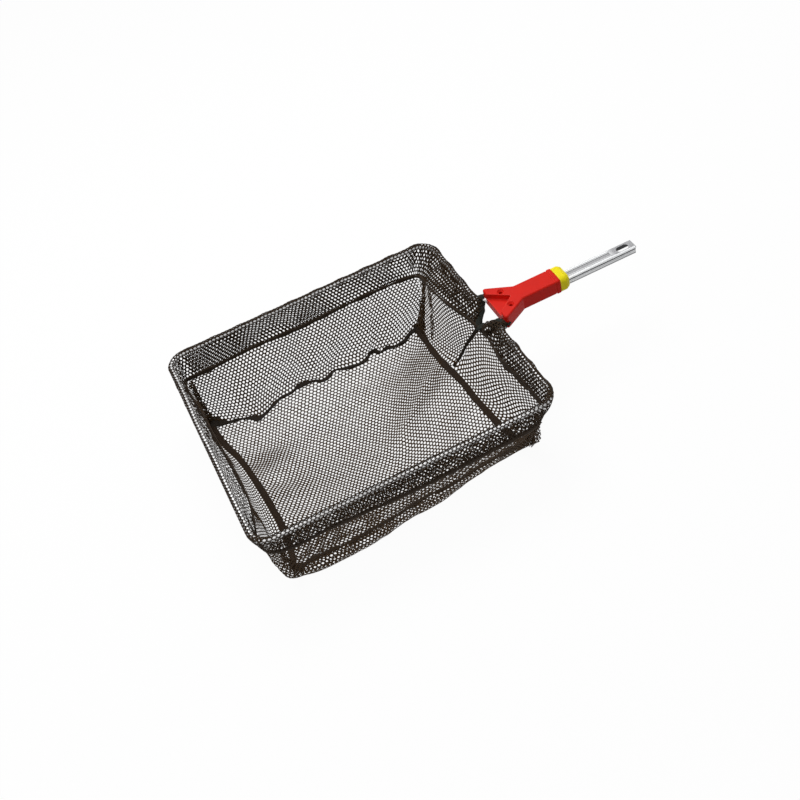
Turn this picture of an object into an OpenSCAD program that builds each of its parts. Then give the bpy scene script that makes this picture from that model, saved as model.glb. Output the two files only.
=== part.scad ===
// Click-on leaf skimmer net: a rectangular rod rim, a sewn mesh bag with a flat
// floor, and a moulded socket with a steel tang that clicks into a handle.
// Millimetres. +X runs from the toe to the handle, +Z is up, and the origin is
// the middle of the underside of the bag's floor.

/* [Rim] */
// Length of the rim, toe rod to handle rod, between rod centres
rim_length = 376; // [330:1:420]
// Width of the rim between rod centres
rim_width = 342; // [290:1:380]
// Corner radius of the rim at the rod's centre
rim_corner_r = 22; // [16:1:34]
// Diameter of the steel rod
rod_d = 6; // [5:0.5:7]

/* [Bag] */
// Height of the rod's centre above the underside of the floor
bag_depth = 108; // [85:1:140]
// How far the floor's toe edge lies inside the toe rod
toe_inset = 20; // [12:1:40]
// How far the floor's handle edge lies inside the handle rod
handle_inset = 49; // [20:1:60]
// How far the floor's long edges lie inside the side rods
side_inset = 27; // [14:1:45]
// Thickness of one layer of mesh
mesh_t = 1.2; // [0.8:0.1:1.6]
// Width of the mesh cords
cord_w = 1.8; // [1.2:0.1:3]
// Largest spacing of the mesh cords
cord_pitch = 24; // [20:1:40]
// Width of the folded strip of mesh at each bottom corner
corner_fold_w = 4; // [3:0.5:8]

/* [Hem] */
// Drop of the hem from the rod's centre to its stitched edge
hem_drop = 30; // [22:1:40]
// How far the hem's stitched edge leans into the bag
hem_lean = 7; // [3:0.5:9]
// Play between the rod and the hem wrapped round it
hem_ease = 0.3; // [0.1:0.1:0.6]
// Height of the overlocked line along the hem's edge
hem_seam_h = 3; // [2:0.5:5]
// Thickness of the overlocked line
hem_seam_t = 0.8; // [0.5:0.1:1.2]
// Angle that each end of the hem follows the rod into the socket
hem_end_turn = 40; // [20:1:48]
// Width of the binding tape on the two edges of the notch
binding_w = 4; // [3:0.5:6]
// Thickness of the binding tape
binding_t = 3.4; // [2.6:0.1:4.5]

/* [Floor tapes] */
// Width of the tapes at the toe and handle edges of the floor
tape_w = 8; // [5:0.5:12]
// Width of the corded seams along the floor's long edges
seam_w = 4; // [3:0.5:6]
// Thickness of the tapes and seams
tape_t = 1.8; // [1.4:0.1:2.4]
// How far inside the tape's outer edge the walls stand
wall_foot = 1.5; // [1.2:0.1:2.2]
// Width of the tape over the bag's closing seam
closing_w = 5; // [4:0.5:8]
// Thickness of the tape over the closing seam
closing_t = 1.8; // [1.2:0.1:2.4]

/* [Socket] */
// Gap between the handle rod's centre line and the socket's end face
socket_gap = 10.5; // [9:0.5:14]
// Length of the flared part of the socket
flare_length = 34.5; // [30:0.5:44]
// Half width of the socket at its flared end
flare_half_w = 31; // [29:0.5:36]
// Half width of the socket's neck
neck_half_w = 13.5; // [12.5:0.5:17]
// Length of the neck
neck_length = 47; // [36:0.5:60]
// Height of the socket's top above the rod's centre
socket_top = 13; // [10:0.5:16]
// Depth of the socket's underside below the rod's centre
socket_bottom = 7; // [6.5:0.5:9]
// Chamfer round the socket's top and bottom edges
socket_chamfer = 1.3; // [0.6:0.1:1.8]
// Radius of the upright corners at the flared end
leg_corner_r = 3; // [2:0.5:5]
// Half width of the sunk web at the flared end
web_half_w = 20; // [16:0.5:23]
// Length of the sunk web
web_length = 24; // [16:0.5:28]
// Depth of the sunk web below the socket's top
web_depth = 7.5; // [4:0.5:8.5]
// Diameter of the two holes over the rod ends
dimple_d = 4.6; // [3:0.2:5.4]
// Distance of these holes from the end face
dimple_x = 17; // [12:0.5:22]
// Thickness of the lip at the end of the neck
lip_length = 5; // [3:0.5:8]
// How far the lip stands proud of the neck
lip_proud = 0.8; // [0.5:0.1:1.5]
// Radius of the lip's corners
lip_r = 3; // [2:0.5:5]

/* [Rod ends] */
// Half distance between the rod ends where they leave the socket's end face
prong_exit_y = 24.5; // [21:0.5:25.5]
// Angle between each rod end and the handle's axis inside the flare
prong_splay = 33; // [30:1:36]
// Bend radius of the rod ends
prong_bend_r = 16; // [12:1:20]
// Length of the parallel rod ends inside the tang
prong_tail = 20; // [12:1:28]
// Gap between the two parallel rod ends
prong_gap = 1.5; // [0.6:0.1:2]

/* [Collar] */
// Length of the collar
collar_length = 13; // [8:0.5:18]
// Length of the collar's tapering outer end
collar_nose = 4.5; // [2.5:0.5:6]
// How far the collar stands proud of the neck
collar_proud = 1.8; // [1:0.1:3]
// Radius of the collar's corners
collar_r = 8; // [5:0.5:9]
// How much smaller the collar's outer end is, all round
collar_taper = 2.6; // [1:0.1:4]
// Length of the collar's spigot inside the neck
spigot_length = 10; // [6:0.5:14]
// Wall of the spigot over the tang and at its sides
spigot_t = 1.6; // [1.2:0.1:2]
// Wall of the spigot below the tang
spigot_floor_t = 0.8; // [0.6:0.1:1]

/* [Tang] */
// Width of the tang
tang_w = 18; // [17:0.5:20]
// Height of the tang
tang_h = 8.8; // [8:0.2:9.6]
// Sheet thickness of the tang
tang_t = 1.5; // [1.2:0.1:2]
// Length of the tang that shows beyond the collar
tang_free = 99.5; // [80:0.5:120]
// Outer radius along the tang's shoulders
tang_r = 3; // [2:0.2:3.6]
// Length of the latch slot, end to end
slot_length = 17; // [12:0.5:22]
// Width of the latch slot
slot_w = 9.6; // [6:0.2:11]
// Distance from the tang's tip to the middle of the slot
slot_from_tip = 15.5; // [12:0.5:24]
// Width of the pressed groove along the tang's top
groove_w = 5.4; // [3:0.2:7]
// Depth of the pressed groove
groove_depth = 0.6; // [0.3:0.1:0.9]
// Distance from the slot's inner end to the groove's end
groove_stop = 10; // [6:0.5:16]
// Height of the shallow groove along each flank
flank_groove_h = 1.4; // [0.8:0.2:2]
// Height of this groove above the tang's lower edge
flank_groove_z = 4; // [2:0.2:4.6]
// Depth of the flank grooves
flank_groove_depth = 0.4; // [0.2:0.1:0.6]
// Size of the corners cut off the tang's tip
tip_cut = 1.6; // [1:0.2:3]

/* [Hidden] */
$fn = 48;

// Gap between sewn pieces that meet at an angle
sewn_gap = 0.35;
// Gap between moulded or pressed parts that fit together
fit = 0.1;
// Overshoot of cuts, and how far a spigot runs into its own part
eps = 0.5;
// Overlap of the rod's slanting runs and its bends
bend_lap = 0.3;
// How much thinner the drawn wire is in the slanting runs
bend_step = 0.04;
// Hem left above the slope of the notch
notch_land = 0.5;
// Thickness of the faces that the chamfers run out to
face_skin = 0.2;
// Length of the flat outer end of the collar
collar_land = 1;
// Facets of the moulded parts' rounded corners
mould_fn = 32;

mesh_color = "#3b332d";
tape_color = "#3a312b";
binding_color = "#262a28";
steel_color = "#b9bcc0";
socket_color = "#d8281f";
collar_color = "#f3e12a";

// Floor and rim
floor_length = rim_length - toe_inset - handle_inset;
floor_width = rim_width - 2 * side_inset;
rim_cx = (handle_inset - toe_inset) / 2;
rim_z = bag_depth;
toe_x = rim_cx - rim_length / 2;
handle_x = rim_cx + rim_length / 2;
long_straight = rim_length - 2 * rim_corner_r;
toe_straight = rim_width - 2 * rim_corner_r;

// Hem
bore_r = rod_d / 2 + hem_ease;
hem_r = bore_r + mesh_t;
stitch_z = rim_z - hem_drop;

// Rod ends: each turns out of the handle side, then turns parallel to the handle
socket_x = handle_x + socket_gap;
prong_y = rod_d / 2 + prong_gap / 2;
turn_in = 90 - prong_splay;
bend_corner_y = prong_exit_y + socket_gap * tan(prong_splay);
bend_trim = prong_bend_r * tan(turn_in / 2);
bend_start_y = bend_corner_y + bend_trim;
notch_top_y = bend_start_y - notch_land;
tail_corner_x = socket_x + (prong_exit_y - prong_y) / tan(prong_splay);
tail_trim = prong_bend_r * tan(prong_splay / 2);
leg_length = (bend_corner_y - prong_y) / sin(prong_splay) - bend_trim - tail_trim;
tail_x = tail_corner_x + tail_trim;

// Tang, seated on the rod ends inside the neck
tang_top = rim_z + rod_d / 2 + fit + tang_t;
tang_bottom = tang_top - tang_h;
tang_x = tail_x;
neck_x = socket_x + flare_length;
lip_x = neck_x + neck_length;
collar_x = lip_x + lip_length;
collar_end = collar_x + collar_length;
tang_tip = collar_end + tang_free;
slot_x = tang_tip - slot_from_tip;
spigot_half_w = tang_w / 2 + fit + spigot_t;
spigot_top = tang_top + fit + spigot_t;
spigot_bottom = tang_bottom - fit - spigot_floor_t;

// ---------------------------------------------------------------- rim and hem

// One straight stretch of a profile, centred on the Y axis and facing +X
module straight(length) {
    rotate([90, 0, 0]) linear_extrude(length, center = true) children();
}

// A profile swept round the toe and the two long sides up to the handle corners
module rim_sweep() {
    translate([rim_cx, 0, rim_z]) {
        rotate([0, 0, 180]) translate([rim_length / 2, 0, 0]) straight(toe_straight) children();
        for (side = [0, 1]) mirror([0, side, 0]) {
            rotate([0, 0, 90]) translate([rim_width / 2, 0, 0]) straight(long_straight) children();
            rim_corner(long_straight / 2, 0) children();
            rim_corner(-long_straight / 2, 90) children();
        }
    }
}

// One rounded corner of the rim
module rim_corner(x, turn) {
    translate([x, toe_straight / 2, 0]) rotate([0, 0, turn]) rotate_extrude(angle = 90)
        translate([rim_corner_r, 0]) children();
}

// The handle side of one half, from the corner to the bend of the rod end
module handle_side() {
    run = toe_straight / 2 - bend_start_y;
    translate([handle_x, bend_start_y + run / 2, rim_z]) straight(run) children();
}

// The bend from the handle side towards the socket
module first_bend(turn) {
    translate([handle_x + prong_bend_r, bend_start_y, rim_z]) rotate([0, 0, 180])
        rotate_extrude(angle = turn) translate([prong_bend_r, 0]) mirror([1, 0]) children();
}

// A straight run of rod along +X
module rod_run(d, length) {
    rotate([90, 0, 90]) linear_extrude(length) circle(d = d);
}

// One rod end from its bend to its tip: the slanting run laps into both bends
module prong(d) {
    first_bend(turn_in) circle(d = d);
    translate([handle_x, bend_corner_y, rim_z]) rotate([0, 0, -prong_splay])
        translate([bend_trim - bend_lap, 0, 0])
            rod_run(d - bend_step, leg_length + 2 * bend_lap);
    translate([tail_x, prong_y + prong_bend_r, rim_z]) rotate([0, 0, 270])
        rotate_extrude(angle = -prong_splay) translate([prong_bend_r, 0]) circle(d = d);
    translate([tail_x, prong_y, rim_z]) rod_run(d, prong_tail);
}

module rim_rod() {
    color(steel_color) {
        rim_sweep() circle(d = rod_d);
        for (side = [0, 1]) mirror([0, side, 0]) {
            handle_side() circle(d = rod_d);
            prong(rod_d);
        }
    }
}

// Two layers of mesh below the rod, leaning into the bag
module skirt_profile(half_t) {
    polygon([
        [half_t, 0], [half_t - hem_lean, -hem_drop],
        [-half_t - hem_lean, -hem_drop], [-half_t, 0]
    ]);
}

// The mesh wrapped round the rod
module wrap_profile() {
    difference() {
        circle(r = hem_r);
        circle(r = bore_r);
    }
}

module hem_profile() {
    difference() {
        union() {
            circle(r = hem_r);
            skirt_profile(mesh_t);
        }
        circle(r = bore_r);
    }
}

// Upright slice of the notch side, between two lines that slope to its lower point
module notch_slice(inner, outer) {
    low = rim_z - hem_drop;
    top = rim_z - hem_r;
    translate([handle_x, 0, 0]) rotate([90, 0, 90])
        linear_extrude(2 * (hem_lean + binding_t), center = true)
            polygon([[inner[0], low], [outer[0], low], [outer[1], top], [inner[1], top]]);
}

// The skirt's leaning slab along the handle side, as thick as asked
module notch_slab(half_t) {
    translate([handle_x, bend_start_y / 2, rim_z]) straight(bend_start_y) skirt_profile(half_t);
}

module hem_casing() {
    edge_low = binding_w + sewn_gap;
    color(mesh_color) {
        rim_sweep() hem_profile();
        for (side = [0, 1]) mirror([0, side, 0]) {
            handle_side() hem_profile();
            first_bend(hem_end_turn) wrap_profile();
            intersection() {
                notch_slab(mesh_t);
                notch_slice([edge_low, notch_top_y], [bend_start_y, bend_start_y]);
            }
        }
    }
}

// The overlocked line inside the bag, along the hem's lower edge
module hem_seam() {
    lean = hem_lean / hem_drop;
    face = -mesh_t - hem_lean;
    color(tape_color) {
        rim_sweep() hem_seam_profile(face, lean);
        for (side = [0, 1]) mirror([0, side, 0]) handle_side() hem_seam_profile(face, lean);
    }
}

module hem_seam_profile(face, lean) {
    rise = hem_seam_h * lean;
    polygon([
        [face, -hem_drop], [face + rise, -hem_drop + hem_seam_h],
        [face + rise - hem_seam_t, -hem_drop + hem_seam_h], [face - hem_seam_t, -hem_drop]
    ]);
}

// Binding tape on one sloping edge of the notch
module notch_binding() {
    half_gap = sewn_gap / 2;
    color(binding_color) intersection() {
        notch_slab(binding_t / 2);
        notch_slice(
            [half_gap, notch_top_y - binding_w],
            [binding_w + half_gap, notch_top_y - half_gap]
        );
    }
}

module notch_binding_far() { notch_binding(); }

module notch_binding_near() { mirror([0, 1, 0]) notch_binding(); }

// ------------------------------------------------------------------- the bag

// Number of gaps along a length
function gaps(length) = max(2, ceil(length / cord_pitch));

// An even number of gaps, so that a cord runs through the middle
function even_gaps(length) = 2 * ceil(length / cord_pitch / 2);

// A flat four-sided net: [left, right] at the bottom and at the top
module net(bottom, top, height, cols, rows) {
    bottom_run = bottom[1] - bottom[0] - cord_w;
    top_run = top[1] - top[0] - cord_w;
    for (i = [0:cols]) {
        low = bottom[0] + bottom_run * i / cols;
        high = top[0] + top_run * i / cols;
        polygon([[low, 0], [low + cord_w, 0], [high + cord_w, height], [high, height]]);
    }
    left_lean = (top[0] - bottom[0]) / height;
    right_lean = (top[1] - bottom[1]) / height;
    for (j = [0:rows]) {
        low = (height - cord_w) * j / rows;
        high = low + cord_w;
        polygon([
            [bottom[0] + left_lean * low, low], [bottom[1] + right_lean * low, low],
            [bottom[1] + right_lean * high, high], [bottom[0] + left_lean * high, high]
        ]);
    }
}

// Slope of a wall whose floor edge lies inset from the rod
function wall_run(inset) = inset + wall_foot - hem_lean;
wall_rise = stitch_z - tape_t;
function wall_slope(inset) = sqrt(pow(wall_run(inset), 2) + pow(wall_rise, 2));

// Stands a flat piece, drawn in the XY plane, up as the wall on one side of the
// floor: direction is the way out, reach the distance to the floor's edge
module stand(direction, reach, inset, thickness) {
    rotate([0, 0, direction]) translate([reach - wall_foot, 0, tape_t])
        rotate([0, atan2(wall_run(inset), wall_rise), 0]) rotate([90, 0, 90])
            linear_extrude(thickness, center = true) translate([0, sewn_gap]) children();
}

// Half length of a wall's lower edge, for a floor edge of this length
function foot_half(edge) = edge / 2 - wall_foot - corner_fold_w / sqrt(2) - sewn_gap;

// A wall along one of the long sides: shift is where the rim's middle lies
module long_wall(direction, shift) {
    low = foot_half(floor_length);
    high = long_straight / 2 - sewn_gap;
    height = wall_slope(side_inset) - 2 * sewn_gap;
    color(mesh_color) stand(direction, floor_width / 2, side_inset, mesh_t)
        net([-low, low], [shift - high, shift + high], height, gaps(long_straight), gaps(height));
}

module wall_far() { long_wall(90, -rim_cx); }

module wall_near() { long_wall(-90, rim_cx); }

module wall_toe() {
    low = foot_half(floor_width);
    high = toe_straight / 2 - sewn_gap;
    height = wall_slope(toe_inset) - 2 * sewn_gap;
    color(mesh_color) stand(180, floor_length / 2, toe_inset, mesh_t)
        net([-low, low], [-high, high], height, gaps(toe_straight), gaps(height));
}

// Half of the handle wall, beside the closing seam
module handle_wall_half() {
    low = foot_half(floor_width);
    high = toe_straight / 2 - sewn_gap;
    seam = closing_w / 2 + sewn_gap;
    height = wall_slope(handle_inset) - 2 * sewn_gap;
    color(mesh_color) stand(0, floor_length / 2, handle_inset, mesh_t)
        net([seam, low], [seam, high], height, gaps(toe_straight / 2), gaps(height));
}

module wall_handle_far() { handle_wall_half(); }

module wall_handle_near() { mirror([0, 1, 0]) handle_wall_half(); }

module closing_seam() {
    height = wall_slope(handle_inset) - 2 * sewn_gap;
    color(tape_color) stand(0, floor_length / 2, handle_inset, closing_t)
        translate([-closing_w / 2, 0]) square([closing_w, height]);
}

// The gathered fold of mesh down one corner of the bag, as a flat tapering strip
module corner_fold(end_sign, side_sign, rod_x) {
    half_t = mesh_t / 2;
    foot = corner_fold_w / sqrt(2);
    round_in = rim_corner_r - hem_lean;
    top_x = rod_x - end_sign * hem_lean;
    top_y = rim_width / 2 - hem_lean;
    low_x = end_sign * (floor_length / 2 - wall_foot);
    low_y = floor_width / 2 - wall_foot;
    top_z = stitch_z - sewn_gap;
    low_z = tape_t + sewn_gap;
    trim = sewn_gap / sqrt(2);
    // Corners in order: low end side, low long side, top long side, top end side
    flat = [
        [low_x, low_y - foot + trim, low_z], [low_x - end_sign * (foot - trim), low_y, low_z],
        [top_x - end_sign * (round_in - trim), top_y, top_z],
        [top_x, top_y - round_in + trim, top_z]
    ];
    across = cross(flat[1] - flat[0], flat[3] - flat[0]);
    normal = across / norm(across) * half_t;
    color(mesh_color) mirror([0, side_sign < 0 ? 1 : 0, 0]) polyhedron(
        points = [for (p = flat) p + normal, for (p = flat) p - normal],
        faces = [
            [3, 2, 1, 0], [4, 5, 6, 7], [0, 1, 5, 4], [1, 2, 6, 5], [2, 3, 7, 6], [3, 0, 4, 7]
        ]
    );
}

module corner_fold_far_toe() { corner_fold(-1, 1, toe_x); }

module corner_fold_far_handle() { corner_fold(1, 1, handle_x); }

module corner_fold_near_toe() { corner_fold(-1, -1, toe_x); }

module corner_fold_near_handle() { corner_fold(1, -1, handle_x); }

// Floor, between the tapes and the corded seams
net_length = floor_length - 2 * tape_w;
net_width = floor_width - 2 * seam_w;

module floor_net() {
    color(mesh_color) linear_extrude(mesh_t) translate([0, -net_width / 2])
        net([-net_length / 2, net_length / 2], [-net_length / 2, net_length / 2], net_width,
            even_gaps(net_length), even_gaps(net_width));
}

// A tape across one end of the floor
module end_tape(x) {
    color(tape_color) translate([x, -floor_width / 2, 0]) cube([tape_w, floor_width, tape_t]);
}

module floor_tape_toe() { end_tape(-floor_length / 2); }

module floor_tape_handle() { end_tape(floor_length / 2 - tape_w); }

// A corded seam along one long edge of the floor
module long_seam(y) {
    color(tape_color) translate([-net_length / 2, y, 0]) cube([net_length, seam_w, tape_t]);
}

module floor_seam_far() { long_seam(floor_width / 2 - seam_w); }

module floor_seam_near() { long_seam(-floor_width / 2); }

// -------------------------------------------------------------------- handle

// Plan of the neck, or of the flare, drawn smaller all round by margin
module neck_plan(margin) {
    half = neck_half_w - margin;
    translate([neck_x - eps, -half]) square([neck_length + eps, 2 * half]);
}

module flare_plan(margin) {
    corner = flare_half_w - leg_corner_r;
    half = neck_half_w - margin;
    for (side = [-1, 1]) translate([socket_x + leg_corner_r, side * corner])
        circle(r = leg_corner_r - margin, $fn = mould_fn);
    translate([neck_x - eps, -half]) square([eps, 2 * half]);
}

// A solid with chamfered top and bottom edges: children(0) is its full plan and
// children(1) the plan of its top and bottom faces
module chamfered() {
    bottom = rim_z - socket_bottom;
    height = socket_top + socket_bottom;
    hull() {
        translate([0, 0, bottom]) linear_extrude(face_skin) children(1);
        translate([0, 0, bottom + socket_chamfer]) linear_extrude(height - 2 * socket_chamfer)
            children(0);
        translate([0, 0, bottom + height - face_skin]) linear_extrude(face_skin) children(1);
    }
}

// Rounded slab across the handle's axis, from x, larger than the neck by grow
module band(x, length, grow, r) {
    half_w = neck_half_w + grow - r;
    low = rim_z - socket_bottom - grow + r;
    high = rim_z + socket_top + grow - r;
    for (y = [-half_w, half_w], z = [low, high])
        translate([x, y, z]) rotate([0, 90, 0]) cylinder(r = r, h = length, $fn = mould_fn);
}

// Room for the tang in a moulded part
module tang_room(x, length) {
    translate([x, -tang_w / 2 - fit, tang_bottom - fit])
        cube([length, tang_w + 2 * fit, tang_h + 2 * fit]);
}

module socket() {
    web_z = rim_z + socket_top - web_depth;
    dimple_y = prong_exit_y - dimple_x * tan(prong_splay);
    color(socket_color) difference() {
        union() {
            chamfered() {
                flare_plan(0);
                flare_plan(socket_chamfer);
            }
            chamfered() {
                neck_plan(0);
                neck_plan(socket_chamfer);
            }
            hull() band(lip_x - fit, lip_length + fit, lip_proud, lip_r);
        }
        translate([socket_x, 0, web_z]) linear_extrude(web_depth + eps)
            polygon([[-eps, -web_half_w], [web_length, 0], [-eps, web_half_w]]);
        for (side = [0, 1]) mirror([0, side, 0]) {
            prong(rod_d + 2 * fit);
            translate([socket_x + dimple_x, dimple_y, rim_z])
                cylinder(d = dimple_d, h = socket_top + eps);
        }
        tang_room(tang_x - fit, collar_x - tang_x + fit + eps);
        translate([collar_x - spigot_length - fit, -spigot_half_w - fit, spigot_bottom - fit])
            cube([
                spigot_length + fit + eps, 2 * spigot_half_w + 2 * fit,
                spigot_top - spigot_bottom + 2 * fit
            ]);
    }
}

module collar() {
    color(collar_color) difference() {
        union() {
            hull() {
                band(collar_x, collar_length - collar_nose, collar_proud, collar_r);
                band(collar_end - collar_land, collar_land,
                    collar_proud - collar_taper, collar_r - collar_taper);
            }
            translate([collar_x - spigot_length, -spigot_half_w, spigot_bottom])
                cube([spigot_length + eps, 2 * spigot_half_w, spigot_top - spigot_bottom]);
        }
        tang_room(collar_x - spigot_length - eps, spigot_length + collar_length + 2 * eps);
    }
}

// Section of the tang: a channel open below, with rounded shoulders
module tang_profile() {
    half = tang_w / 2;
    inner_r = tang_r - tang_t;
    difference() {
        channel_outline(half, tang_h, tang_r);
        translate([0, -eps]) channel_outline(half - tang_t, tang_h - tang_t + eps, inner_r);
    }
}

// Upright slab with its two upper corners rounded
module channel_outline(half, height, r) {
    translate([-half, 0]) square([2 * half, height - r]);
    translate([r - half, 0]) square([2 * (half - r), height]);
    for (side = [-1, 1]) translate([side * (half - r), height - r]) circle(r = r);
}

module slot_plan() {
    run = (slot_length - slot_w) / 2;
    for (end = [-1, 1]) translate([end * run, 0]) circle(d = slot_w);
    translate([-run, -slot_w / 2]) square([2 * run, slot_w]);
}

module tang() {
    groove_x = collar_end - eps;
    groove_end = slot_x - slot_length / 2 - groove_stop;
    color(steel_color) difference() {
        translate([tang_x, 0, tang_bottom]) rotate([90, 0, 90])
            linear_extrude(tang_tip - tang_x) tang_profile();
        translate([slot_x, 0, tang_bottom - eps]) linear_extrude(tang_h + 2 * eps) slot_plan();
        translate([groove_x, -groove_w / 2, tang_top - groove_depth])
            cube([groove_end - groove_x, groove_w, groove_depth + eps]);
        for (side = [0, 1]) mirror([0, side, 0]) {
            translate([collar_end, tang_w / 2 - flank_groove_depth, tang_bottom + flank_groove_z])
                cube([tang_free + eps, flank_groove_depth + eps, flank_groove_h]);
            translate([tang_tip, tang_w / 2, tang_bottom - eps]) rotate([0, 0, 45])
                translate([-tip_cut, -tip_cut / sqrt(2), 0])
                    cube([2 * tip_cut, tip_cut * sqrt(2), tang_h + 2 * eps]);
        }
    }
}

rim_rod();
hem_casing();
hem_seam();
notch_binding_far();
notch_binding_near();
wall_far();
wall_near();
wall_toe();
wall_handle_far();
wall_handle_near();
closing_seam();
corner_fold_far_toe();
corner_fold_far_handle();
corner_fold_near_toe();
corner_fold_near_handle();
floor_net();
floor_tape_toe();
floor_tape_handle();
floor_seam_far();
floor_seam_near();
socket();
collar();
tang();
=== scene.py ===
"""Leaf skimmer net: a knitted bag sewn on a rod rim, with its tapes, seams, socket and tang.

The cloth is worked out in millimetres in the frame's own axes: +X towards the handle,
+Y to the far side, +Z up, with the middle of the bag's floor at the origin.
"""
import math

import bpy
import numpy as np
from mathutils import Matrix, Vector


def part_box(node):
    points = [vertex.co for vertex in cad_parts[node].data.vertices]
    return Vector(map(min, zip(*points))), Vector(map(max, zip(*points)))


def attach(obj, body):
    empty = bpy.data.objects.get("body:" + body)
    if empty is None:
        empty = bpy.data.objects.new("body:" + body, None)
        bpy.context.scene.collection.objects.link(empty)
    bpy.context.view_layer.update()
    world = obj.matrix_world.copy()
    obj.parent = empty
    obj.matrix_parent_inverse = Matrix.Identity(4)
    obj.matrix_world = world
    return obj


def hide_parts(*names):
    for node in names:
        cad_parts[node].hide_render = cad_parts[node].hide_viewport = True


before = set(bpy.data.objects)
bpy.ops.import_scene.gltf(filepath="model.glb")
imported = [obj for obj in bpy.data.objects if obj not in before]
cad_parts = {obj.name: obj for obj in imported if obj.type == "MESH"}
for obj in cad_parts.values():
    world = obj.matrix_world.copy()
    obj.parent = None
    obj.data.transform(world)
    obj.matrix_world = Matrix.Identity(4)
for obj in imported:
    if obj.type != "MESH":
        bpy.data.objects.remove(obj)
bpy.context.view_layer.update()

MM = 0.001
BODY = "root"


# ---------------- the frame's own places

def edges(node):
    """A node's lowest and highest corner in millimetres."""
    low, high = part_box(node)
    return np.array(low) / MM, np.array(high) / MM


rod_low, rod_high = edges("rim_rod")
socket_low, socket_high = edges("socket")
ROD_R = (rod_high[2] - rod_low[2]) / 2
ROD_Z = (rod_high[2] + rod_low[2]) / 2
TOE_X = rod_low[0] + ROD_R
SIDE_Y = rod_high[1] - ROD_R
SOCKET_X = socket_low[0]
SOCKET_GAP = 10.5
HANDLE_X = SOCKET_X - SOCKET_GAP
CORNER_R = 22.0
BEND_R = 16.0
BEND_TURN = math.radians(57)
BEND_Y = 40.0
ROD_STEP = 0.4

# The knitted mesh: the pitch of its holes along a row and from row to row, a hole's share of its cell,
# half a strand's height, how far cells stay from a cut edge, and how near the places are that give the
# cloth's direction
MESH_PITCH = (5.18, 4.0)
HEM_PITCH = (5.25, 3.8)
FLOOR_PITCH = (5.25, 4.1)
HOLE_SIZE, LEAST_HOLE, LARGEST_HOLE = 0.6, 0.2, 0.8
STRAND_H = 0.32
CUT_MARGIN, NEAR_BY = 0.4, 0.3
KNOT_SCATTER, HOLE_SCATTER, STRAND_SCATTER = 0.07, 0.03, 0.08
HEM_R = ROD_R + 1.0

# Tapes and seams
TOE_TAPE_W = 8.6
HANDLE_TAPE_W = 9.6
TAPE_T = 1.9
FLOOR_Z = 1.0
LOWEST = 0.12
# The stitches on a tape: their rows' places across it and above it, as shares of its width and its
# thickness, their ends along it as shares of a stitch, and their radius
STITCH_ROW, STITCH_UP, STITCH_ENDS, STITCH_R = 0.36, 0.46, (0.15, 0.9), 0.32
UP = (0.0, 0.0, 1.0)


# ---------------- curves

def slopes(at, rows):
    """The slope of a smooth line at each of its stations."""
    step = np.diff(at)[:, None]
    rise = np.diff(rows, axis=-2) / step
    inner = (step[1:] * rise[..., :-1, :] + step[:-1] * rise[..., 1:, :]) / (step[1:] + step[:-1])
    return np.concatenate([rise[..., :1, :], inner, rise[..., -1:, :]], -2)


def between(a, b, slope_a, slope_b, h, t):
    """The point at share t of a smooth stretch of length h from a to b."""
    return (a * (1 + 2 * t) * (1 - t) ** 2 + b * t ** 2 * (3 - 2 * t)
            + slope_a * h * t * (1 - t) ** 2 + slope_b * h * t ** 2 * (t - 1))


def stretch_of(at, q):
    """The stretch between stations that each value lies in."""
    return np.clip(np.searchsorted(at, q, side="right") - 1, 0, len(at) - 2)


class Track:
    """A smooth line through stations, read at any value between the first and the last."""

    def __init__(self, at, rows):
        self.at, self.rows = np.asarray(at, float), np.asarray(rows, float)
        self.slope = slopes(self.at, self.rows)

    def __call__(self, q):
        q = np.clip(np.asarray(q, float), self.at[0], self.at[-1])
        i = stretch_of(self.at, q)
        h = (self.at[i + 1] - self.at[i])[..., None]
        return between(self.rows[i], self.rows[i + 1], self.slope[i], self.slope[i + 1], h,
                       (q - self.at[i])[..., None] / h)


def chord(points):
    """The distance along a row of points to each of them."""
    return np.r_[0, np.cumsum(np.linalg.norm(np.diff(points, axis=0), axis=1))]


def at_distance(q, along, points):
    """The points of a row at distances along it."""
    return np.stack([np.interp(q, along, column) for column in points.T], -1)


def line(points):
    """A track over 0 to 1 through points, by their distance along it."""
    points = np.asarray(points, float)
    along = chord(points)
    return Track(along / along[-1], points)


def length_of(track):
    return chord(track(np.linspace(0, 1, 200)))[-1]


def even(track, spacing):
    """Points along a track at one even spacing."""
    fine = track(np.linspace(0, 1, 600))
    along = chord(fine)
    return at_distance(np.linspace(0, along[-1], max(2, int(round(along[-1] / spacing)) + 1)), along, fine)


def unit(v):
    return v / np.maximum(np.linalg.norm(v, axis=-1, keepdims=True), 1e-9)


def square(way):
    """The level direction to the right of a way."""
    return np.stack([way[..., 1], -way[..., 0], 0 * way[..., 0]], -1)


def waves(seed, count, wave, size):
    """A smooth seeded field over two coordinates."""
    rng = np.random.default_rng(seed)
    turn, phase = rng.uniform(0, 2 * np.pi, count), rng.uniform(0, 2 * np.pi, count)
    pace = 2 * np.pi / (wave * rng.uniform(0.7, 1.5, count))

    def field(u, v):
        total = 0
        for t, p, k in zip(turn, phase, pace):
            total = total + np.sin(k * (u * math.cos(t) + v * math.sin(t)) + p)
        return size * total / math.sqrt(count)
    return field


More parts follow.
